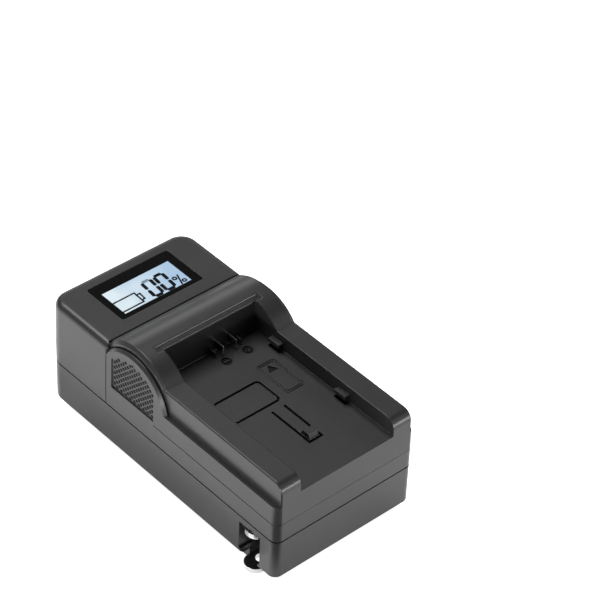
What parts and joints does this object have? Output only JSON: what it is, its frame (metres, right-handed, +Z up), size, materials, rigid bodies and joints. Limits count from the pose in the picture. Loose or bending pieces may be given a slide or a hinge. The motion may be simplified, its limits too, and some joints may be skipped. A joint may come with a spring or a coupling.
{
  "type": "camera battery charger",
  "caption": "Compact charger with an open bay for a camera battery, a lit display on a raised rear block, textured side grips and a mains plug that folds into a side notch.",
  "frame": {"origin": "middle of the flat foot that the charger stands on", "axes": "+X across the case to the right, +Y along the case towards the display end, +Z up"},
  "size_m": [0.0497, 0.0972, 0.0436],
  "materials": {
    "housing": "fine textured black ABS",
    "window": "glossy black",
    "display_glass": "display glass",
    "light_guide": "milky",
    "circuit_board": "solder mask",
    "ribbon": "flat cable",
    "ferrite": "matte ferrite",
    "winding": "yellow tape",
    "can_sleeve": "sleeved can",
    "ceramic": "ceramic body",
    "film_box": "film capacitor box",
    "chip": "epoxy",
    "contact_metal": "plated spring brass",
    "rotor": "moulded black",
    "plated_blade": "nickel plated brass",
    "steel": "zinc plated"
  },
  "bodies": {
    "case": {"lower_case": "housing", "bay_housing": "housing", "display_housing": "housing", "display_window": "window", "lcd_panel": "display_glass", "lcd_backlight": "light_guide", "display_board": "circuit_board", "display_ribbon": "ribbon", "main_board": "circuit_board", "transformer_core": "ferrite", "transformer_bobbin": "winding", "bulk_capacitor": "can_sleeve", "output_capacitor": "can_sleeve", "line_choke": "ferrite", "fuse_resistor": "ceramic", "x_capacitor": "film_box", "bridge_rectifier": "chip", "controller_chip": "chip", "charge_chip": "chip", "output_diode": "chip", "contact_negative": "contact_metal", "contact_positive": "contact_metal", "plug_axle": "steel", "line_contact_spring": "contact_metal", "neutral_contact_spring": "contact_metal", "case_screws": "steel"},
    "plug": {"plug_rotor": "rotor", "upper_blade": "plated_blade", "lower_blade": "plated_blade"}
  },
  "joints": [
    {"name": "plug_fold", "type": "hinge", "parent": "case", "child": "plug", "pos_m": [-0.0011, -0.0383, 0.00825], "axis": [0, -1, 0], "range_deg": [0, 90]}
  ]
}
